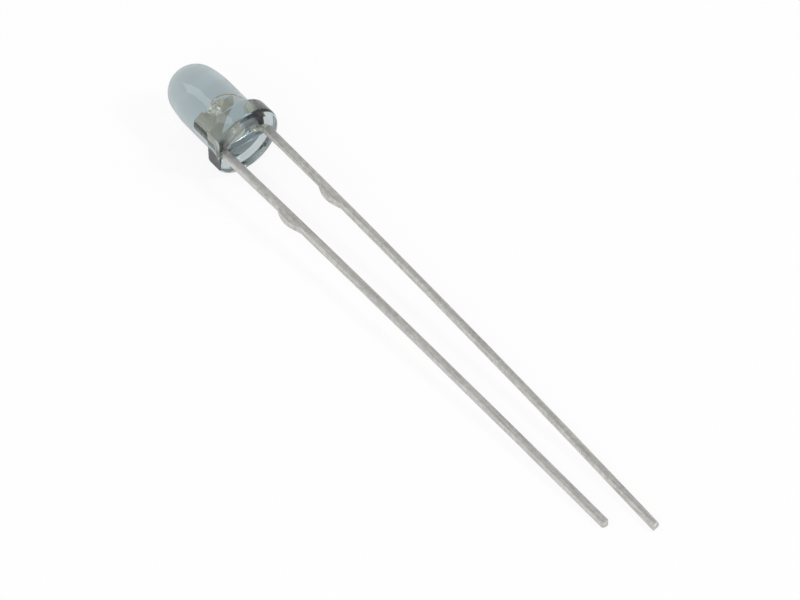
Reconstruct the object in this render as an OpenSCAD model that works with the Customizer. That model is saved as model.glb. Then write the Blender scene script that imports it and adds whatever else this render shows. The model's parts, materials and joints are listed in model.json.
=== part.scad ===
// Through-hole indicator LED, 3 mm round, water-clear.
//
// Each piece is drawn upright: the lens axis is Z, the seating plane of the
// flange is z = 0, the dome points up and the leads hang down. The leads lie in
// the YZ plane, the anode on +Y and the cathode, with the flat, on -Y.
// lie_down() then lays the whole lamp on its side, as it comes to rest on a
// table: on the rim of its flange and on the two lead tips. The origin stays on
// the lens axis, in the seating plane.

/* [Lens] */
// Diameter of the straight part of the lens
barrel_d = 3.0; // [2.8:0.05:3.2]
// Height above the seating plane at which the straight part ends
barrel_top = 3.05; // [2.9:0.05:3.3]
// Radius of the dome
dome_r = 1.39; // [1.3:0.01:1.4]
// Height of the dome's centre above the seating plane
dome_centre = 4.05; // [3.9:0.05:4.4]
// Diameter of the flange
flange_d = 3.85; // [3.75:0.05:4.2]
// Height of the flange
flange_h = 1.0; // [0.9:0.05:1.2]
// Rounding of the flange's upper edge
flange_round = 0.1; // [0.05:0.01:0.2]
// Distance from the lens axis to the flat that marks the cathode
flat_y = 1.6; // [1.56:0.01:1.7]

/* [Underside of the lens] */
// Width of the flat ring that the lens stands on
seat_ring = 0.38; // [0.3:0.02:0.5]
// Depth of the dish inside that ring
dish_depth = 0.2; // [0.06:0.01:0.24]
// Radius of the rounded ridge of resin between the leads
ridge_r = 0.34; // [0.28:0.02:0.5]
// Distance from the seating plane up to the crest of the ridge
ridge_drop = 0.01; // [0.01:0.01:0.05]

/* [Leads] */
// Distance between the lead centres where they leave the lens
lead_pitch = 2.54; // [2.5:0.01:2.58]
// Width of a lead
lead_w = 0.4; // [0.36:0.01:0.5]
// Thickness of the strip that both leads are stamped from
strip_t = 0.38; // [0.34:0.01:0.48]
// Length of the cathode lead below the seating plane
cathode_len = 29.0; // [24:0.1:30]
// Length of the anode lead below the seating plane
anode_len = 30.6; // [26:0.1:32]
// How far the tip of the cathode lead is bent towards the anode
cathode_bow = 0.29; // [0:0.01:0.4]
// How far the tip of the anode lead is bent towards the cathode
anode_bow = 0.53; // [0:0.01:0.6]
// Corner cut of the cathode's tip
tip_corner = 0.09; // [0.02:0.01:0.15]
// Slant of the sheared end of the anode
tip_slant = 0.07; // [0:0.01:0.15]

/* [Stand-offs] */
// Distance from the seating plane to the start of each stand-off
standoff_start = 4.3; // [3:0.05:6]
// Height of a stand-off above the side of its lead
standoff_h = 0.23; // [0.12:0.01:0.3]
// Length of a stand-off
standoff_len = 1.8; // [1:0.05:2.2]
// How steeply a stand-off rises at the lens end, where 1 is the same as its far end
standoff_skew = 1.1; // [1:0.05:1.8]

/* [Leadframe inside the lens] */
// Height at which the leads start to step towards the lens axis
shoulder_low = 0.3; // [0.2:0.02:0.4]
// Height at which that step ends
shoulder_top = 0.72; // [0.6:0.02:0.8]
// Distance from the lens axis to the outer side of the leadframe above its step
frame_reach = 1.08; // [1:0.01:1.2]
// Height of the anvil's shoulder on the cathode side of the cup
anvil_top = 2.5; // [2.45:0.01:2.6]
// Distance between that shoulder and the flared head of the cup
anvil_gap = 0.04; // [0.02:0.01:0.1]
// Corner cut of that shoulder
anvil_corner = 0.1; // [0.04:0.01:0.15]
// Distance from the lens axis to the anvil's point on the anode side
tip_reach = 0.66; // [0.6:0.01:0.66]
// Height of that point
tip_height = 2.24; // [2.16:0.02:2.26]
// Distance from the lens axis to the anvil's neck below that point
neck_reach = 0.42; // [0.36:0.01:0.5]
// Height of the neck
neck_height = 1.5; // [1.4:0.02:1.6]
// Height at which the lower edge of the anvil crosses the lens axis
crossing = 1.2; // [1.1:0.02:1.3]
// Height of the rim of the reflector cup
cup_top = 2.38; // [2.36:0.01:2.42]
// Depth of the reflector cup
cup_depth = 0.3; // [0.26:0.01:0.34]
// Radius of the cup's floor
cup_floor_r = 0.2; // [0.19:0.01:0.24]
// Radius of the cup's mouth
cup_mouth_r = 0.36; // [0.32:0.01:0.4]
// Width of the flat rim around the mouth
cup_rim = 0.07; // [0.05:0.01:0.1]
// Thickness of that rim
cup_rim_t = 0.08; // [0.04:0.01:0.12]
// Height of the flared head that carries the cup
cup_head_h = 0.5; // [0.44:0.02:0.6]
// Height of the bond post's flat top
post_top = 1.25; // [1.15:0.05:1.4]
// Width of the bond post's flat top
post_w = 0.42; // [0.36:0.01:0.44]
// How much wider the bond post is at its foot
post_flare = 0.1; // [0.05:0.01:0.15]

/* [Chip and wire] */
// Side of the square chip
chip_w = 0.26; // [0.2:0.01:0.3]
// Height of the chip
chip_h = 0.16; // [0.1:0.01:0.2]
// Thickness of the silver paste under the chip
paste_t = 0.02; // [0.01:0.005:0.03]
// How far the paste squeezes out around the chip
paste_spill = 0.03; // [0.01:0.01:0.05]
// Diameter of the bond wire
wire_d = 0.03; // [0.025:0.005:0.04]
// Diameter of the ball bond on the chip
ball_d = 0.09; // [0.07:0.01:0.1]
// Height of the ball bond
ball_h = 0.03; // [0.02:0.005:0.04]
// Diameter of the wire's bond on the post
stitch_d = 0.08; // [0.06:0.01:0.1]
// Height of that bond
stitch_h = 0.015; // [0.01:0.005:0.02]
// How high the wire's curve is pulled above the rim of the cup
loop_h = 0.58; // [0.54:0.01:0.62]

/* [Hidden] */
$fn = 80;

barrel_r = barrel_d / 2;
flange_r = flange_d / 2;
seat_y = lead_pitch / 2;

// Where the straight taper above the barrel meets the dome without a crease
taper_from = [barrel_r, barrel_top - dome_centre];
dome_angle = atan2(taper_from[1], taper_from[0]) + acos(dome_r / norm(taper_from));
dome_edge = [dome_r * cos(dome_angle), dome_centre + dome_r * sin(dome_angle)];

// The dish is the cap of a large sphere
dish_r = flange_r - seat_ring;
dish_sphere_r = (pow(dish_r, 2) + pow(dish_depth, 2)) / (2 * dish_depth);
dish_facets = 120;

// Stations along the bent part of a lead, from the seating plane to its tip
lead_steps = 14;
// Stations along a stand-off
standoff_steps = 14;

cup_floor = cup_top - cup_depth;
chip_seat = cup_floor + paste_t;
chip_top = chip_seat + chip_h;
shoulder_y = -cup_mouth_r - cup_rim - anvil_gap;
post_y = frame_reach - post_w / 2;

wire_sides = 8;
wire_rings = 24;

// Centre lines of the leads, for a fraction t of their length below the lens
function cathode_y(t) = -seat_y + cathode_bow * (1 - pow(1 - t, 2));
function anode_y(t) = seat_y - anode_bow * pow(t, 2);

// Resting attitude: a plane z = slope_x * x + slope_y * y - drop, in the lying
// frame, touches the flange rim and the lower edges of both lead tips.
anode_tip = [anode_len, anode_y(1) - lead_w / 2];
cathode_tip = [cathode_len, cathode_y(1) - lead_w / 2];
tip_ratio = (anode_tip[0] - cathode_tip[0]) / (anode_tip[1] - cathode_tip[1]);
tip_run = anode_tip[0] - anode_tip[1] * tip_ratio;
rough_slope = (flange_r - strip_t / 2) / tip_run;
rest_drop = flange_r * norm([1, rough_slope * tip_ratio]);
slope_x = (rest_drop - strip_t / 2) / tip_run;
slope_y = -slope_x * tip_ratio;
rest_roll = atan(-slope_y);
rest_tilt = atan(slope_x / norm([1, slope_y]));

// Lays an upright piece on its side, leads towards +X and anode towards +Y
module lie_down() {
    rotate([0, rest_tilt, 0]) rotate([rest_roll, 0, 0]) rotate([0, -90, 0]) children();
}

// Turns an outline drawn as (Y, Z) into a stamped piece of the strip
module stamp() {
    rotate([90, 0, 90]) linear_extrude(strip_t, center = true) children();
}

// Half section of the lens: flange, barrel, taper and dome
module lens_profile() {
    square([flange_r - flange_round, flange_h]);
    square([flange_r, flange_h - flange_round]);
    translate([flange_r - flange_round, flange_h - flange_round]) circle(flange_round);
    polygon([[0, 0], [barrel_r, 0], [barrel_r, barrel_top], dome_edge, [0, dome_edge[1]]]);
    intersection() {
        translate([0, dome_centre]) circle(dome_r);
        translate([0, dome_edge[1]]) square(dome_r);
    }
}

// The outer shape of the moulded lens, with no room in it yet
module lens_blank() {
    difference() {
        rotate_extrude() lens_profile();
        translate([-flange_r, -flat_y - flange_d, -flange_h])
            cube([flange_d, flange_d, 3 * flange_h]);
        translate([0, 0, dish_depth - dish_sphere_r]) sphere(dish_sphere_r, $fn = dish_facets);
    }
    // The ridge of resin drawn up between the two leads
    translate([0, 0, ridge_r + ridge_drop]) rotate([90, 0, 0])
        cylinder(lead_pitch, r = ridge_r, center = true);
}

// Outline of a lead below the shoulder: centre line given by its side of the
// lens, side = 1 for the anode and -1 for the cathode
module leg_outline(side, length) {
    function mid(t) = side > 0 ? anode_y(t) : cathode_y(t);
    slant = side > 0 ? tip_slant : 0;
    corner = side > 0 ? 0 : tip_corner;
    near = [for (i = [0 : lead_steps - 1]) let(t = i / lead_steps)
        [mid(t) - lead_w / 2, -length * t]];
    far = [for (i = [lead_steps - 1 : -1 : 0]) let(t = i / lead_steps)
        [mid(t) + lead_w / 2, -length * t]];
    tip = [
        [mid(1) - lead_w / 2, -length + corner],
        [mid(1) - lead_w / 2 + corner, -length],
        [mid(1) + lead_w / 2 - corner, -length + slant],
        [mid(1) + lead_w / 2, -length + slant + corner]
    ];
    top = [[mid(0) + lead_w / 2, shoulder_low], [mid(0) - lead_w / 2, shoulder_low]];
    polygon(concat(near, tip, far, top));
}

// Outline of the stand-off on the -Y side of a lead
module standoff_outline(side, length) {
    function mid(t) = side > 0 ? anode_y(t) : cathode_y(t);
    function edge(s) = mid(s / length) - lead_w / 2;
    function rise(u) = standoff_h * sin(180 * pow(u, 1 / standoff_skew));
    bump = [for (i = [0 : standoff_steps]) let(
        u = i / standoff_steps, s = standoff_start + standoff_len * u)
        [edge(s) - rise(u), -s]];
    standoff_end = standoff_start + standoff_len;
    root = [
        [edge(standoff_end) + lead_w / 2, -standoff_end],
        [edge(standoff_start) + lead_w / 2, -standoff_start]
    ];
    polygon(concat(bump, root));
}

// Outline of the anvil that the cathode lead carries inside the lens
module anvil_outline() {
    polygon([
        [-seat_y - lead_w / 2, 0],
        [-seat_y + lead_w / 2, 0],
        [-seat_y + lead_w / 2, shoulder_low],
        [0, crossing],
        [neck_reach, neck_height],
        [tip_reach, tip_height],
        [tip_reach - anvil_corner, cup_top - cup_rim_t],
        [shoulder_y, cup_top - cup_rim_t],
        [shoulder_y, anvil_top],
        [-frame_reach + anvil_corner, anvil_top],
        [-frame_reach, anvil_top - anvil_corner],
        [-frame_reach, shoulder_top],
        [-seat_y - lead_w / 2, shoulder_low]
    ]);
}

// Flared round head of the anvil, before the cup is coined in it
module cup_head() {
    head_r = cup_mouth_r + cup_rim;
    rotate_extrude() polygon([
        [0, cup_top - cup_head_h],
        [strip_t / 2, cup_top - cup_head_h],
        [head_r, cup_top - cup_rim_t],
        [head_r, cup_top],
        [0, cup_top]
    ]);
}

// The hollow of the reflector cup
module cup_hollow() {
    slope = (cup_mouth_r - cup_floor_r) / cup_depth;
    rotate_extrude() polygon([
        [0, cup_floor],
        [cup_floor_r, cup_floor],
        [cup_mouth_r + slope * cup_depth, cup_top + cup_depth],
        [0, cup_top + cup_depth]
    ]);
}

// Outline of the bond post that the anode lead carries inside the lens
module post_outline() {
    post_inner = frame_reach - post_w;
    polygon([
        [seat_y + lead_w / 2, 0],
        [seat_y + lead_w / 2, shoulder_low],
        [frame_reach, shoulder_top],
        [frame_reach, post_top],
        [post_inner, post_top],
        [post_inner - post_flare, shoulder_top],
        [seat_y - lead_w / 2, shoulder_low],
        [seat_y - lead_w / 2, 0]
    ]);
}

module cathode_upright() {
    difference() {
        union() {
            stamp() {
                leg_outline(-1, cathode_len);
                standoff_outline(-1, cathode_len);
                anvil_outline();
            }
            cup_head();
        }
        cup_hollow();
    }
}

module anode_upright() {
    stamp() {
        leg_outline(1, anode_len);
        standoff_outline(1, anode_len);
        post_outline();
    }
}

module chip_upright() {
    translate([-chip_w / 2, -chip_w / 2, chip_seat]) cube([chip_w, chip_w, chip_h]);
}

module paste_upright() {
    translate([0, 0, cup_floor]) cylinder(paste_t, r = chip_w / 2 + paste_spill);
}

// Centre line of the bond wire: a Bezier curve up from the ball on the chip, over
// the rim of the cup and down to the bond on the post
wire_start = [0, chip_top + ball_h];
wire_end = [post_y, post_top + stitch_h];
wire_pull = [
    wire_start,
    [wire_start[0], cup_top + loop_h],
    [wire_end[0], cup_top + loop_h],
    wire_end
];
function wire_at(t) = pow(1 - t, 3) * wire_pull[0] + 3 * t * pow(1 - t, 2) * wire_pull[1]
    + 3 * pow(t, 2) * (1 - t) * wire_pull[2] + pow(t, 3) * wire_pull[3];
function wire_along(t) = let(
    d = 3 * pow(1 - t, 2) * (wire_pull[1] - wire_pull[0])
        + 6 * t * (1 - t) * (wire_pull[2] - wire_pull[1])
        + 3 * pow(t, 2) * (wire_pull[3] - wire_pull[2])) d / norm(d);

// A ring of points around the wire, square to its centre line
function wire_ring(t) = let(p = wire_at(t), d = wire_along(t)) [
    for (k = [0 : wire_sides - 1]) let(
        a = 360 * k / wire_sides, across = wire_d / 2 * cos(a), up = wire_d / 2 * sin(a))
    [across, p[0] - d[1] * up, p[1] + d[0] * up]];

module wire_upright() {
    points = [for (i = [0 : wire_rings]) each wire_ring(i / wire_rings)];
    last = wire_rings * wire_sides;
    sides = [for (i = [0 : wire_rings - 1], k = [0 : wire_sides - 1]) let(
        j = (k + 1) % wire_sides, low = i * wire_sides, high = low + wire_sides)
        each [[low + k, low + j, high + j], [low + k, high + j, high + k]]];
    start_cap = [[for (k = [wire_sides - 1 : -1 : 0]) k]];
    end_cap = [[for (k = [0 : wire_sides - 1]) last + k]];
    polyhedron(points, concat(start_cap, sides, end_cap));
    translate([0, 0, chip_top]) cylinder(ball_h, d = ball_d);
    translate([0, post_y, post_top]) cylinder(stitch_h, d = stitch_d);
}

module epoxy_lens() {
    color("#9AA8AE", 0.4) lie_down() difference() {
        lens_blank();
        cathode_upright();
        anode_upright();
        chip_upright();
        paste_upright();
        wire_upright();
    }
}

module cathode_lead() {
    color("#B4B3AF") lie_down() cathode_upright();
}

module anode_lead() {
    color("#B4B3AF") lie_down() anode_upright();
}

module led_chip() {
    color("#5E6B74") lie_down() chip_upright();
}

module chip_paste() {
    color("#C9CACA") lie_down() paste_upright();
}

module bond_wire() {
    color("#D9B45A") lie_down() wire_upright();
}

epoxy_lens();
cathode_lead();
anode_lead();
led_chip();
chip_paste();
bond_wire();
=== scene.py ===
import json
import math

import bpy
from mathutils import Matrix, Vector


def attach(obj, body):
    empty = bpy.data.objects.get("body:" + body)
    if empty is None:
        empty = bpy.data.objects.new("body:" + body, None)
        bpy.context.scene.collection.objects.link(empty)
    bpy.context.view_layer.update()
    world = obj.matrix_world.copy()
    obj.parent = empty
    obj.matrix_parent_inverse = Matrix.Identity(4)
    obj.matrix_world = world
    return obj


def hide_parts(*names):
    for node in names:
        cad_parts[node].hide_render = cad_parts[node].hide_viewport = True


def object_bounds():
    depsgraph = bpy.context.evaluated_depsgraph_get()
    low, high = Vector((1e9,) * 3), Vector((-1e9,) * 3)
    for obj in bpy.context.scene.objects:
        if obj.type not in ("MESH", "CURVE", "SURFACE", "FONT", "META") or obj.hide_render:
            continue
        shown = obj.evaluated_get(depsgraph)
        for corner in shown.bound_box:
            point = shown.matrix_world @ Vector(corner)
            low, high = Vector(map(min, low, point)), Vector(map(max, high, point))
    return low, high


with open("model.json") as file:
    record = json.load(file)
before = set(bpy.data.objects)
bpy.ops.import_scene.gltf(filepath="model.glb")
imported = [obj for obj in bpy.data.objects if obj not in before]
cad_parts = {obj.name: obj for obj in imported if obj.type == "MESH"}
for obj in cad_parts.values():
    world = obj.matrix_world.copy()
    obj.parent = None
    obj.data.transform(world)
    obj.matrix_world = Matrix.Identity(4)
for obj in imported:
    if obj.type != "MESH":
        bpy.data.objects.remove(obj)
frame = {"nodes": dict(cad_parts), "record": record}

bl_info = {
    "name": "Through-hole LED",
    "version": (1, 0, 0),
    "blender": (4, 5, 0),
    "location": "3D View > Sidebar > LED",
    "description": "Dresses a 3 mm water-clear LED and sets it on a pale table",
    "category": "Add Mesh",
}

CAD_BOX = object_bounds()
MM = 0.001
MOUNTS = {mount["name"]: mount for mount in frame["record"]["mounts"]}


# Places worked out from the frame

def mount_axis(name):
    """The direction of a mount, as a unit vector."""
    return Vector(MOUNTS[name]["axis"]).normalized()


def lamp_matrix():
    """Takes the lamp from upright, dome up and anode towards +Y, to where it lies."""
    up = mount_axis("barrel")
    shoulder = Vector(MOUNTS["shoulder"]["pos_m"])
    across = (shoulder - up * shoulder.dot(up)).normalized()
    return Matrix((across, up.cross(across), up)).transposed().to_4x4()


LAMP = lamp_matrix()
FLANGE_TOP = Vector(MOUNTS["shoulder"]["pos_m"]).dot(mount_axis("barrel"))
BARREL_R = MOUNTS["barrel"]["dims"]["r_mm"] * MM
FLANGE_R = MOUNTS["flange_rim"]["dims"]["r_mm"] * MM
BARREL_TOP = FLANGE_TOP + MOUNTS["barrel"]["dims"]["length_mm"] * MM


# How finely the meshes are made

CUT_THRESHOLD = 0.0001 * MM
MERGE_DISTANCE = 0.0005 * MM
FLAT_ANGLE = math.radians(0.25)
ROUNDING_STEPS = 6
DISH_STEPS = 16
BARREL_STEPS = 6
TAPER_STEPS = 10
DOME_STEPS = 26
DOME_END = math.radians(88.5)
RIDGE_SIDES = 96
TIN_STEPS = 4


# Where the tin rounds the edges of the leads

SHARP_ANGLE = math.radians(40)
TIN_TOP = -0.1 * MM
ACROSS_STRIP = 0.1 * MM
ACROSS_SHARE = 0.25


# Settings a user would change

class LensSettings(bpy.types.PropertyGroup):
    """Sizes and colour of the moulded lens"""

    dome_radius: bpy.props.FloatProperty(
        name="Dome radius", description="Radius of the domed end",
        default=1.39 * MM, unit="LENGTH")
    dome_centre: bpy.props.FloatProperty(
        name="Dome centre", description="Height of the dome's centre above the seating plane",
        default=4.05 * MM, unit="LENGTH")
    flat: bpy.props.FloatProperty(
        name="Flat", description="Distance from the axis to the flat on the cathode side",
        default=1.6 * MM, unit="LENGTH")
    seat_ring: bpy.props.FloatProperty(
        name="Seat ring", description="Width of the flat ring under the flange",
        default=0.38 * MM, unit="LENGTH")
    dish_depth: bpy.props.FloatProperty(
        name="Dish depth", description="Depth of the hollow inside the seat ring",
        default=0.2 * MM, unit="LENGTH")
    ridge_radius: bpy.props.FloatProperty(
        name="Ridge radius", description="Radius of the resin ridge between the leads",
        default=0.34 * MM, unit="LENGTH")
    ridge_drop: bpy.props.FloatProperty(
        name="Ridge drop", description="Distance from the seating plane up to the ridge's crest",
        default=0.01 * MM, unit="LENGTH")
    ridge_length: bpy.props.FloatProperty(
        name="Ridge length", description="Length of the ridge, into both leads",
        default=2.4 * MM, unit="LENGTH")
    seat_round: bpy.props.FloatProperty(
        name="Seat rounding", description="Rounding of the flange's lower edge",
        default=0.15 * MM, unit="LENGTH")
    edge_softness: bpy.props.FloatProperty(
        name="Edge softness", description="Rounding that the mould leaves on its sharp edges",
        default=0.03 * MM, unit="LENGTH")
    foot_round: bpy.props.FloatProperty(
        name="Foot rounding", description="Rounding where the barrel rises from the flange",
        default=0.09 * MM, unit="LENGTH")
    flange_round: bpy.props.FloatProperty(
        name="Flange rounding", description="Rounding of the flange's upper edge",
        default=0.18 * MM, unit="LENGTH")
    sides: bpy.props.IntProperty(
        name="Sides", description="Number of steps round the lens", default=160, min=32)
    clear: bpy.props.StringProperty(
        name="Clear", description="Colour of the resin seen straight through", default="#D3DADB")
    # Painted shade: the dark colour painted on the resin where it is seen edge on
    rim_shade: bpy.props.StringProperty(
        name="Rim", description="Colour of the resin where it is seen edge on", default="#2E3639")
    tint: bpy.props.StringProperty(
        name="Tint", description="Colour that thick resin lets through", default="#A7BBC2")
    tint_depth: bpy.props.FloatProperty(
        name="Tint depth", description="Thickness of resin that gives that colour",
        default=3.2 * MM, unit="LENGTH")


class LeadSettings(bpy.types.PropertyGroup):
    """Sizes and colours of the leads"""

    cathode_edge: bpy.props.FloatProperty(
        name="Cathode edge", description="Rounding that the tin leaves along the cathode lead",
        default=0.07 * MM, unit="LENGTH")
    anode_edge: bpy.props.FloatProperty(
        name="Anode edge", description="Rounding that the tin leaves along the anode lead",
        default=0.12 * MM, unit="LENGTH")
    tin: bpy.props.StringProperty(
        name="Tin", description="Colour of the dull tin plating", default="#D2D1CE")
    plating: bpy.props.StringProperty(
        name="Plating", description="Colour of the silver plating inside the lens",
        default="#FFF6E2")


class StageSettings(bpy.types.PropertyGroup):
    """Camera and table"""

    azimuth: bpy.props.FloatProperty(
        name="Azimuth", description="Direction that the camera stands in",
        default=math.radians(53.34), subtype="ANGLE")
    elevation: bpy.props.FloatProperty(
        name="Elevation", description="Height angle of the camera",
        default=math.radians(46.13), subtype="ANGLE")
    roll: bpy.props.FloatProperty(
        name="Roll", description="Turn of the camera about its own axis",
        default=math.radians(-1.27), subtype="ANGLE")
    distance: bpy.props.FloatProperty(
        name="Distance", description="Distance from the camera to the lamp",
        default=0.4, unit="LENGTH")
    scale: bpy.props.FloatProperty(
        name="Scale", description="Pixels per millimetre at the lamp, in a picture 800 wide",
        default=20.8)
    aim_right: bpy.props.FloatProperty(
        name="Aim right", description="How far right of the origin the camera looks",
        default=7.373 * MM, unit="LENGTH")
    aim_up: bpy.props.FloatProperty(
        name="Aim up", description="How far above the origin the camera looks",
        default=-7.596 * MM, unit="LENGTH")
    table_size: bpy.props.FloatProperty(
        name="Table size", description="Width of the square table", default=4.0, unit="LENGTH")
    table: bpy.props.StringProperty(
        name="Table", description="Colour of the table", default="#FAFAFA")
    table_glow: bpy.props.FloatProperty(
        name="Table whiteness", description="Share of pure white in the table as it is seen",
        default=0.86, min=0, max=1)


class LedSettings(bpy.types.PropertyGroup):
    """All settings of the lamp"""

    lens: bpy.props.PointerProperty(type=LensSettings)
    leads: bpy.props.PointerProperty(type=LeadSettings)
    stage: bpy.props.PointerProperty(type=StageSettings)


# Small helpers

def linear(hex_colour):
    """Turns an sRGB hex colour into the linear values that shaders use."""
    channels = [int(hex_colour[i:i + 2], 16) / 255 for i in (1, 3, 5)]
    return [c / 12.92 if c <= 0.04045 else ((c + 0.055) / 1.055) ** 2.4 for c in channels] + [1]


def add_node(tree, kind, settings=None, links=None):
    """Adds a node, gives its sockets and properties their values and links what feeds it."""
    node = tree.nodes.new(kind)
    for name, value in (settings or {}).items():
        if isinstance(name, int) or name in node.inputs:
            node.inputs[name].default_value = value
        else:
            setattr(node, name, value)
    for name, source in (links or {}).items():
        tree.links.new(source, node.inputs[name])
    return node


def new_material(name):
    """Makes an empty node material and returns it with its tree and output node."""
    material = bpy.data.materials.new(name)
    material.use_nodes = True
    material.node_tree.nodes.clear()
    output = add_node(material.node_tree, "ShaderNodeOutputMaterial")
    return material, material.node_tree, output


def start_piece():
    """Leaves nothing selected, so that operators act only on what comes next."""
    if bpy.context.object and bpy.context.object.mode != "OBJECT":
        bpy.ops.object.mode_set(mode="OBJECT")
    bpy.ops.object.select_all(action="DESELECT")


def only(obj):
    """Selects one object and makes it active."""
    start_piece()
    obj.select_set(True)
    bpy.context.view_layer.objects.active = obj


def apply_modifier(obj, kind, **settings):
    """Adds a modifier with these settings and applies it."""
    only(obj)
    modifier = obj.modifiers.new(kind.title(), kind)
    for name, value in settings.items():
        setattr(modifier, name, value)
    bpy.ops.object.modifier_apply(modifier=modifier.name)


def remove(obj):
    """Deletes a helper object with its mesh."""
    mesh = obj.data
    bpy.data.objects.remove(obj)
    bpy.data.meshes.remove(mesh)


def ring_up(profile, sides):
    """Models a round solid: one filled circle, extruded and scaled along (radius, height)
    pairs, and closed at its last ring."""
    start_piece()
    radius, height = profile[0]
    bpy.ops.mesh.primitive_circle_add(
        vertices=sides, radius=radius, fill_type="TRIFAN", location=(0, 0, height),
        enter_editmode=True)
    bpy.ops.mesh.flip_normals()
    bpy.ops.mesh.select_all(action="SELECT")
    bpy.ops.mesh.region_to_loop()
    for new_radius, new_height in profile[1:]:
        bpy.ops.mesh.extrude_edges_move(
            TRANSFORM_OT_translate={"value": (0, 0, new_height - height)})
        factor = new_radius / radius
        bpy.ops.transform.resize(value=(factor, factor, 1), center_override=(0, 0, new_height))
        radius, height = new_radius, new_height
    bpy.ops.mesh.edge_face_add()
    bpy.ops.mesh.poke()
    bpy.ops.mesh.select_all(action="SELECT")
    bpy.ops.mesh.normals_make_consistent(inside=False)
    bpy.ops.object.mode_set(mode="OBJECT")
    bpy.ops.object.transform_apply(location=True, rotation=False, scale=False)
    return bpy.context.object


def cut_off(obj, point, direction):
    """Cuts away all of a piece that lies beyond a plane and closes the cut."""
    only(obj)
    bpy.ops.object.mode_set(mode="EDIT")
    bpy.ops.mesh.select_all(action="SELECT")
    bpy.ops.mesh.bisect(
        plane_co=point, plane_no=direction, use_fill=True, clear_outer=True,
        threshold=CUT_THRESHOLD)
    bpy.ops.object.mode_set(mode="OBJECT")


def finish_piece(obj, name, material, nodes, smooth=math.radians(35)):
    only(obj)
    bpy.ops.object.shade_smooth_by_angle(angle=smooth)
    obj.name = name
    obj.data.name = name
    obj.data.materials.clear()
    obj.data.materials.append(material)
    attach(obj, "root")
    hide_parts(*nodes)


# Colour sockets of a Mix node

MIX_A = 6
MIX_B = 7
MIX_RESULT = 2


# Materials, with the sizes of their patterns in millimetres

WHITE = "#FFFFFF"
WAVE = 0.8333
MARK_WIDTH = 0.1111
MARK_LENGTH = 2.857
CLOUD = 0.25


def upright_coordinates(tree):
    """Object coordinates in millimetres, turned so that Z is the lens axis, up to the dome."""
    place = add_node(tree, "ShaderNodeTexCoord")
    turn = LAMP.to_3x3().inverted().to_euler()
    turned = add_node(tree, "ShaderNodeMapping", {"Rotation": turn}, {"Vector": place.outputs["Object"]})
    return add_node(
        tree, "ShaderNodeVectorMath", {"operation": "SCALE", "Scale": 1 / MM},
        {0: turned.outputs["Vector"]}).outputs["Vector"]


def clear_epoxy(clear, rim_shade, tint, tint_depth):
    """Water-clear cast epoxy, glossy from its polished mould. It is nearly as clear as glass, and the
    flow of the resin leaves soft waves, so highlights break up a little. It has a faint blue-grey tint,
    and its colour is painted dark where the surface is seen edge on, as a painted shade line around the
    lens."""
    material, tree, output = new_material("Clear epoxy")
    place = upright_coordinates(tree)
    waves = add_node(
        tree, "ShaderNodeTexNoise", {"Scale": 1 / WAVE, "Detail": 2.0, "Roughness": 0.4},
        {"Vector": place})
    bump = add_node(
        tree, "ShaderNodeBump", {"Strength": 0.25, "Distance": 0.09 * MM},
        {"Height": waves.outputs["Fac"]})
    # Painted shade: the base colour turns to the dark rim colour where the surface is seen edge on
    facing = add_node(tree, "ShaderNodeLayerWeight", {"Blend": 0.5})
    rim_shade_mask = add_node(
        tree, "ShaderNodeMapRange", {"From Min": 0.65, "From Max": 0.95},
        {"Value": facing.outputs["Facing"]})
    colour = add_node(
        tree, "ShaderNodeMix", {"data_type": "RGBA", MIX_A: linear(clear), MIX_B: linear(rim_shade)},
        {"Factor": rim_shade_mask.outputs["Result"]})
    shader = add_node(
        tree, "ShaderNodeBsdfPrincipled",
        {"Roughness": 0.03, "IOR": 1.52, "Transmission Weight": 1.0},
        {"Base Color": colour.outputs[MIX_RESULT], "Normal": bump.outputs["Normal"]})
    depth = add_node(
        tree, "ShaderNodeVolumeAbsorption", {"Color": linear(tint), "Density": 1 / tint_depth})
    tree.links.new(shader.outputs["BSDF"], output.inputs["Surface"])
    tree.links.new(depth.outputs["Volume"], output.inputs["Volume"])
    return material


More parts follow.
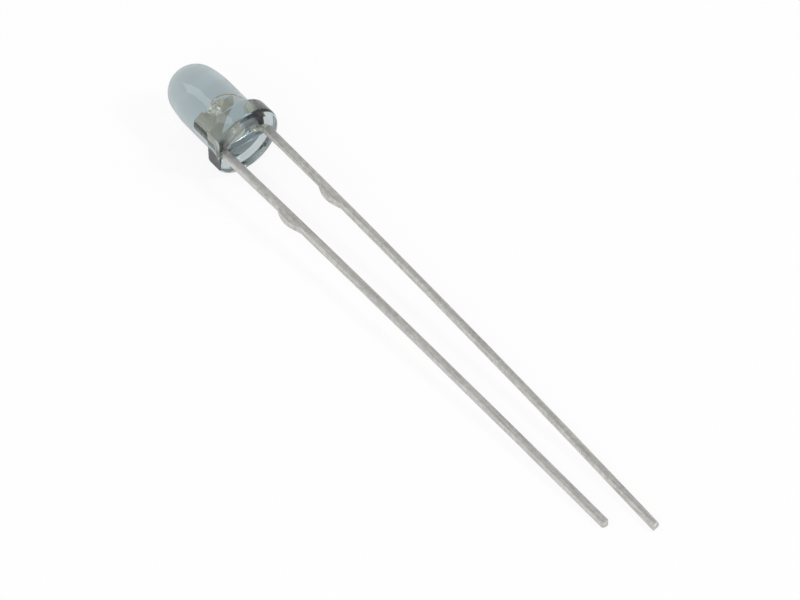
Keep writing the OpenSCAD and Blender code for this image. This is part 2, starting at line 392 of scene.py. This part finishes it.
def tinned_steel(tin, plating):
    """Steel strip, stamped and tin-plated. The dull tin has cloudy patches and lengthwise
    drawing marks, made coarser than real ones so that they show. Inside the lens the strip is
    silver-plated, smoother and warmer."""
    material, tree, output = new_material("Tinned steel")
    place = upright_coordinates(tree)
    per_mm = (1 / MARK_WIDTH, 1 / MARK_WIDTH, 1 / MARK_LENGTH)
    lengthwise = add_node(
        tree, "ShaderNodeVectorMath", {"operation": "MULTIPLY", 1: per_mm}, {0: place})
    marks = add_node(
        tree, "ShaderNodeTexNoise", {"Scale": 1.0, "Detail": 4.0, "Roughness": 0.6},
        {"Vector": lengthwise.outputs["Vector"]})
    clouds = add_node(
        tree, "ShaderNodeTexNoise", {"Scale": 1 / CLOUD, "Detail": 5.0, "Roughness": 0.7},
        {"Vector": place})
    both = add_node(
        tree, "ShaderNodeMath", {"operation": "ADD"},
        {0: marks.outputs["Fac"], 1: clouds.outputs["Fac"]})
    worn = add_node(
        tree, "ShaderNodeMapRange",
        {"From Min": 0.75, "From Max": 1.25, "To Min": 0.72, "To Max": 1.1},
        {"Value": both.outputs["Value"]})
    height = add_node(tree, "ShaderNodeSeparateXYZ", links={"Vector": place})
    inside = add_node(
        tree, "ShaderNodeMapRange", {"From Min": -0.05, "From Max": 0.15}, {"Value": height.outputs["Z"]})
    metal = add_node(
        tree, "ShaderNodeMix", {"data_type": "RGBA", MIX_A: linear(tin), MIX_B: linear(plating)},
        {"Factor": inside.outputs["Result"]})
    dulling = add_node(
        tree, "ShaderNodeMapRange", {"To Min": 1.0, "To Max": 0.4}, {"Value": inside.outputs["Result"]})
    shade = add_node(
        tree, "ShaderNodeMix", {"data_type": "RGBA", "blend_type": "MULTIPLY"},
        {"Factor": dulling.outputs["Result"], MIX_A: metal.outputs[MIX_RESULT],
         MIX_B: worn.outputs["Result"]})
    texture = add_node(
        tree, "ShaderNodeMapRange",
        {"From Min": 0.7, "From Max": 1.3, "To Min": 0.62, "To Max": 0.48},
        {"Value": both.outputs["Value"]})
    polish = add_node(
        tree, "ShaderNodeMapRange", {"To Min": 1.0, "To Max": 0.45}, {"Value": inside.outputs["Result"]})
    rough = add_node(
        tree, "ShaderNodeMath", {"operation": "MULTIPLY"},
        {0: texture.outputs["Result"], 1: polish.outputs["Result"]})
    bump = add_node(
        tree, "ShaderNodeBump", {"Strength": 0.6, "Distance": 0.03 * MM},
        {"Height": both.outputs["Value"]})
    shader = add_node(
        tree, "ShaderNodeBsdfPrincipled", {"Metallic": 1.0},
        {"Base Color": shade.outputs[MIX_RESULT], "Roughness": rough.outputs["Value"],
         "Normal": bump.outputs["Normal"]})
    tree.links.new(shader.outputs["BSDF"], output.inputs["Surface"])
    return material


def plain_shader(name, colour, metallic, roughness, grain, depth):
    """A small part's finish: one colour with a fine grain in its tone and relief. The grain's
    size and depth are in millimetres."""
    material, tree, output = new_material(name)
    place = upright_coordinates(tree)
    speckle = add_node(
        tree, "ShaderNodeTexNoise", {"Scale": 1 / grain, "Detail": 3.0}, {"Vector": place})
    tone = add_node(
        tree, "ShaderNodeMapRange",
        {"From Min": 0.3, "From Max": 0.7, "To Min": 0.85, "To Max": 1.1},
        {"Value": speckle.outputs["Fac"]})
    shade = add_node(
        tree, "ShaderNodeMix",
        {"data_type": "RGBA", "blend_type": "MULTIPLY", "Factor": 1.0, MIX_A: linear(colour)},
        {MIX_B: tone.outputs["Result"]})
    bump = add_node(
        tree, "ShaderNodeBump", {"Strength": 0.3, "Distance": depth * MM},
        {"Height": speckle.outputs["Fac"]})
    shader = add_node(
        tree, "ShaderNodeBsdfPrincipled", {"Metallic": metallic, "Roughness": roughness},
        {"Base Color": shade.outputs[MIX_RESULT], "Normal": bump.outputs["Normal"]})
    tree.links.new(shader.outputs["BSDF"], output.inputs["Surface"])
    return material


def sawn_chip():
    """Sawn semiconductor with a glassy dark face."""
    return plain_shader(
        "Sawn chip", "#59646C", metallic=0.3, roughness=0.3, grain=0.03, depth=0.002)


def silver_paste():
    """Cured silver-filled epoxy paste, grainy and matt."""
    return plain_shader(
        "Silver paste", "#BDBDBB", metallic=0.6, roughness=0.55, grain=0.02, depth=0.006)


def bond_gold():
    """Drawn gold wire, bright and smooth."""
    return plain_shader(
        "Bond gold", "#E6B85C", metallic=1.0, roughness=0.2, grain=0.05, depth=0.001)


# Pieces

def quarter_angles(start):
    """The angles, in radians, along a quarter turn that starts at an angle in degrees."""
    return [math.radians(start + 90 * i / ROUNDING_STEPS) for i in range(ROUNDING_STEPS + 1)]


def edge_round(centre_r, centre_z, radius, start):
    """(radius, height) pairs along the rounding of an outer edge."""
    return [
        (centre_r + radius * math.cos(a), centre_z + radius * math.sin(a))
        for a in quarter_angles(start)]


def flange_profile(lens):
    """(radius, height) pairs of the flange, from the middle of its underside to its top."""
    dish_r = FLANGE_R - lens.seat_ring
    shares = [i / DISH_STEPS for i in range(1, DISH_STEPS + 1)]
    dish = [(dish_r * share, lens.dish_depth * (1 - share ** 2)) for share in shares]
    seat = [(dish_r + lens.edge_softness / 2, 0)]
    lower = edge_round(FLANGE_R - lens.seat_round, lens.seat_round, lens.seat_round, -90)
    upper = edge_round(
        FLANGE_R - lens.flange_round, FLANGE_TOP - lens.flange_round, lens.flange_round, 0)
    return dish + seat + lower + upper + [(BARREL_R / 2, FLANGE_TOP)]


def barrel_profile(lens):
    """(radius, height) pairs of the barrel and the dome, from inside the flange up."""
    root = lens.foot_round
    foot = [
        (BARREL_R + root * (1 - math.sin(a)), FLANGE_TOP + root * (1 - math.cos(a)))
        for a in quarter_angles(0)]
    barrel = [
        (BARREL_R, FLANGE_TOP + (BARREL_TOP - FLANGE_TOP) * i / BARREL_STEPS)
        for i in range(1, BARREL_STEPS + 1)]
    # One long arc runs from the barrel into the dome and meets both without a crease
    rise = lens.dome_centre - BARREL_TOP
    narrowing = BARREL_R - lens.dome_radius
    arc_r = (BARREL_R ** 2 + rise ** 2 - lens.dome_radius ** 2) / (2 * narrowing)
    arc_x = BARREL_R - arc_r
    join = math.atan2(rise, -arc_x)
    taper = [
        (arc_x + arc_r * math.cos(a), BARREL_TOP + arc_r * math.sin(a))
        for a in [join * i / TAPER_STEPS for i in range(1, TAPER_STEPS + 1)]]
    dome = [
        (lens.dome_radius * math.cos(a), lens.dome_centre + lens.dome_radius * math.sin(a))
        for a in [join + (DOME_END - join) * i / DOME_STEPS for i in range(1, DOME_STEPS + 1)]]
    return [(BARREL_R + root, FLANGE_TOP / 2)] + foot + barrel + taper + dome


class LED_OT_lens(bpy.types.Operator):
    """Models the moulded lens with its flange, flat, dished underside and resin ridge"""

    bl_idname = "led.lens"
    bl_label = "Lens"

    def execute(self, context):
        lens = context.scene.led.lens
        body = ring_up(flange_profile(lens), lens.sides)
        self.cut_flat(body, lens)
        barrel = ring_up(barrel_profile(lens), lens.sides)
        self.join(body, barrel)
        # The ridge of resin drawn up between the leads
        start_piece()
        bpy.ops.mesh.primitive_cylinder_add(
            vertices=RIDGE_SIDES, radius=lens.ridge_radius, depth=lens.ridge_length,
            location=(0, 0, lens.ridge_radius + lens.ridge_drop), rotation=(math.pi / 2, 0, 0))
        self.join(body, bpy.context.object)
        body.data.transform(LAMP)
        finish_piece(
            body, "epoxy_lens_dressed",
            clear_epoxy(lens.clear, lens.rim_shade, lens.tint, lens.tint_depth),
            ["epoxy_lens"], smooth=math.radians(50))
        apply_modifier(body, "WEIGHTED_NORMAL", keep_sharp=True, weight=100)
        return {"FINISHED"}

    def cut_flat(self, body, lens):
        """Cuts the flat that marks the cathode and takes off its four sharp edges."""
        soft = lens.edge_softness
        cut_off(body, (0, -lens.flat, 0), (0, -1, 0))
        half = math.sqrt(FLANGE_R ** 2 - lens.flat ** 2)
        turn = math.atan2(half, lens.flat) / 2
        for side in (-1, 1):
            cut_off(
                body, (side * (half - soft), -lens.flat, 0), (side * math.sin(turn), -math.cos(turn), 0))
        cut_off(body, (0, -lens.flat, soft), (0, -1, -1))
        cut_off(body, (0, -lens.flat, FLANGE_TOP - soft), (0, -1, 1))

    def join(self, body, other):
        """Unites a second solid with the body and removes it."""
        apply_modifier(body, "BOOLEAN", operation="UNION", object=other, solver="EXACT")
        remove(other)


def copy_of_node(name):
    """A merged copy of a CAD node's mesh, with its flat faces made whole."""
    source = frame["nodes"][name]
    piece = bpy.data.objects.new(name + "_copy", source.data.copy())
    bpy.context.scene.collection.objects.link(piece)
    only(piece)
    bpy.ops.object.mode_set(mode="EDIT")
    bpy.ops.mesh.select_all(action="SELECT")
    bpy.ops.mesh.remove_doubles(threshold=MERGE_DISTANCE)
    bpy.ops.mesh.dissolve_limited(angle_limit=FLAT_ANGLE)
    bpy.ops.object.mode_set(mode="OBJECT")
    return piece


class LED_OT_leads(bpy.types.Operator):
    """Rounds the stamped edges of both leads and plates them"""

    bl_idname = "led.leads"
    bl_label = "Leads"

    def execute(self, context):
        leads = context.scene.led.leads
        metal = tinned_steel(leads.tin, leads.plating)
        for node, edge in (("cathode_lead", leads.cathode_edge), ("anode_lead", leads.anode_edge)):
            piece = copy_of_node(node)
            self.weigh_edges(piece)
            apply_modifier(
                piece, "BEVEL", width=edge, segments=TIN_STEPS, limit_method="WEIGHT",
                use_clamp_overlap=False)
            finish_piece(piece, node + "_plated", metal, [node])
        return {"FINISHED"}

    def weigh_edges(self, piece):
        """Gives full rounding to the sharp edges that run along the strip outside the lens,
        and a share of it to those across its thickness."""
        only(piece)
        bpy.ops.object.mode_set(mode="EDIT")
        bpy.ops.mesh.select_all(action="DESELECT")
        bpy.ops.mesh.edges_select_sharp(sharpness=SHARP_ANGLE)
        bpy.ops.object.mode_set(mode="OBJECT")
        upright = LAMP.inverted()
        weights = piece.data.attributes.new("bevel_weight_edge", "FLOAT", "EDGE")
        for edge in piece.data.edges:
            start, end = [upright @ piece.data.vertices[i].co for i in edge.vertices]
            outside = min(start.z, end.z) < TIN_TOP
            if edge.select and outside:
                across = abs(start.x - end.x) > ACROSS_STRIP
                weights.data[edge.index].value = ACROSS_SHARE if across else 1.0


class LED_OT_chip(bpy.types.Operator):
    """Gives the chip, its paste and its wire their finishes"""

    bl_idname = "led.chip"
    bl_label = "Chip and wire"

    def execute(self, context):
        finishes = {"led_chip": sawn_chip(), "chip_paste": silver_paste(), "bond_wire": bond_gold()}
        for node, material in finishes.items():
            piece = frame["nodes"][node]
            piece.data.materials.clear()
            piece.data.materials.append(material)
        return {"FINISHED"}


# Stage

def soft_light(name, place, aim, size, power, width=None):
    """Adds an area light at a place, turned to an aim point: round, or a strip with a width."""
    start_piece()
    bpy.ops.object.light_add(type="AREA", location=place)
    light = bpy.context.object
    light.name = name
    light.data.shape = "RECTANGLE" if width else "DISK"
    light.data.size = size
    light.data.size_y = width or size
    light.data.energy = power
    light.rotation_euler = (Vector(aim) - Vector(place)).to_track_quat("-Z", "Y").to_euler()


def seen(tree):
    """1 for rays from the camera, also by way of metal or glass, and 0 for light itself."""
    rays = add_node(tree, "ShaderNodeLightPath")
    value = rays.outputs["Is Camera Ray"]
    for kind in ("Is Glossy Ray", "Is Transmission Ray"):
        value = add_node(
            tree, "ShaderNodeMath", {"operation": "MAXIMUM"},
            {0: value, 1: rays.outputs[kind]}).outputs["Value"]
    return value


class LED_OT_stage(bpy.types.Operator):
    """Sets the camera at the photograph's angle, lights the lamp and lays a pale table"""

    bl_idname = "led.stage"
    bl_label = "Stage"

    def execute(self, context):
        stage = context.scene.led.stage
        self.place_camera(stage)
        self.lay_table(stage)
        self.light()
        view = context.scene.view_settings
        view.view_transform = "Standard"
        return {"FINISHED"}

    def place_camera(self, stage):
        """Places the camera by its angles and its distance, and fits the view to the scale."""
        back = Vector((
            math.cos(stage.elevation) * math.sin(stage.azimuth),
            -math.cos(stage.elevation) * math.cos(stage.azimuth),
            math.sin(stage.elevation)))
        level = Vector((0, 0, 1)).cross(back).normalized()
        rise = back.cross(level)
        right = level * math.cos(stage.roll) + rise * math.sin(stage.roll)
        up = back.cross(right)
        place = back * stage.distance + right * stage.aim_right + up * stage.aim_up
        bpy.ops.object.camera_add(location=place)
        camera = bpy.context.object
        camera.name = "Camera"
        camera.rotation_euler = Matrix((right, up, back)).transposed().to_euler()
        picture_width = 800
        sensor_width = 36
        camera.data.sensor_width = sensor_width
        camera.data.lens = sensor_width * stage.scale * stage.distance / MM / picture_width
        camera.data.clip_start = 0.01
        camera.data.clip_end = 10
        bpy.context.scene.camera = camera

    def lay_table(self, stage):
        """Lays the table at the part's lowest point. It glows nearly white where it is seen,
        and bounces light as plain paper does."""
        lowest = CAD_BOX[0][2]
        start_piece()
        bpy.ops.mesh.primitive_plane_add(size=stage.table_size, location=(0, 0, lowest))
        table = bpy.context.object
        table.name = "table"
        material, tree, output = new_material("Pale table")
        paper = add_node(tree, "ShaderNodeBsdfDiffuse", {"Color": linear(stage.table)})
        white = add_node(tree, "ShaderNodeEmission", {"Color": linear(WHITE), "Strength": 1.0})
        part = add_node(
            tree, "ShaderNodeMath", {"operation": "MULTIPLY", 1: stage.table_glow}, {0: seen(tree)})
        mix = add_node(
            tree, "ShaderNodeMixShader",
            links={0: part.outputs["Value"], 1: paper.outputs["BSDF"], 2: white.outputs["Emission"]})
        tree.links.new(mix.outputs["Shader"], output.inputs["Surface"])
        table.data.materials.append(material)

    def light(self):
        """Surrounds the lamp with white and adds three area lights."""
        world = bpy.data.worlds.new("Soft studio")
        world.use_nodes = True
        bpy.context.scene.world = world
        tree = world.node_tree
        tree.nodes.clear()
        # White walls with a dimmer ceiling, as in a light tent that is lit from its sides
        direction = add_node(tree, "ShaderNodeTexCoord")
        height = add_node(tree, "ShaderNodeSeparateXYZ", links={"Vector": direction.outputs["Generated"]})
        strength = add_node(
            tree, "ShaderNodeMapRange",
            {"From Min": 0.1, "From Max": 0.65, "To Min": 1.0, "To Max": 0.54},
            {"Value": height.outputs["Z"]})
        sky = add_node(
            tree, "ShaderNodeBackground", {"Color": linear(WHITE)},
            {"Strength": strength.outputs["Result"]})
        output = add_node(tree, "ShaderNodeOutputWorld")
        tree.links.new(sky.outputs["Background"], output.inputs["Surface"])
        # Broad and even, for the whole lamp
        soft_light("Key", place=(0.25, -0.35, 0.4), aim=(0.01, 0, 0), size=0.5, power=1.0)
        # Small, for crisp highlights on the ridge, the flange's edge and the cup
        soft_light("Fill", place=(0.3, 0.2, 0.35), aim=(0, 0, 0), size=0.09, power=0.5)
        # Oblong, for a soft streak on the dome
        soft_light(
            "Strip", place=(-0.28, -0.2, 0.36), aim=(0, 0, 0), size=0.14, power=0.2, width=0.3)


# Panel and registration

class LED_PT_panel(bpy.types.Panel):
    """Lists the steps that dress the lamp"""

    bl_label = "Through-hole LED"
    bl_idname = "LED_PT_panel"
    bl_space_type = "VIEW_3D"
    bl_region_type = "UI"
    bl_category = "LED"

    def draw(self, context):
        settings = context.scene.led
        for group in (settings.lens, settings.leads, settings.stage):
            box = self.layout.box()
            for name in group.__annotations__:
                box.prop(group, name)
        for step in STEPS:
            self.layout.operator(step)


SETTINGS = (LensSettings, LeadSettings, StageSettings, LedSettings)
OPERATORS = (LED_OT_lens, LED_OT_leads, LED_OT_chip, LED_OT_stage)
STEPS = [operator.bl_idname for operator in OPERATORS]


def register():
    for cls in SETTINGS + OPERATORS + (LED_PT_panel,):
        bpy.utils.register_class(cls)
    bpy.types.Scene.led = bpy.props.PointerProperty(type=LedSettings)


def unregister():
    del bpy.types.Scene.led
    for cls in reversed(SETTINGS + OPERATORS + (LED_PT_panel,)):
        bpy.utils.unregister_class(cls)


def main():
    register()
    for step in STEPS:
        group, name = step.split(".")
        getattr(getattr(bpy.ops, group), name)()


if __name__ == "__main__":
    main()
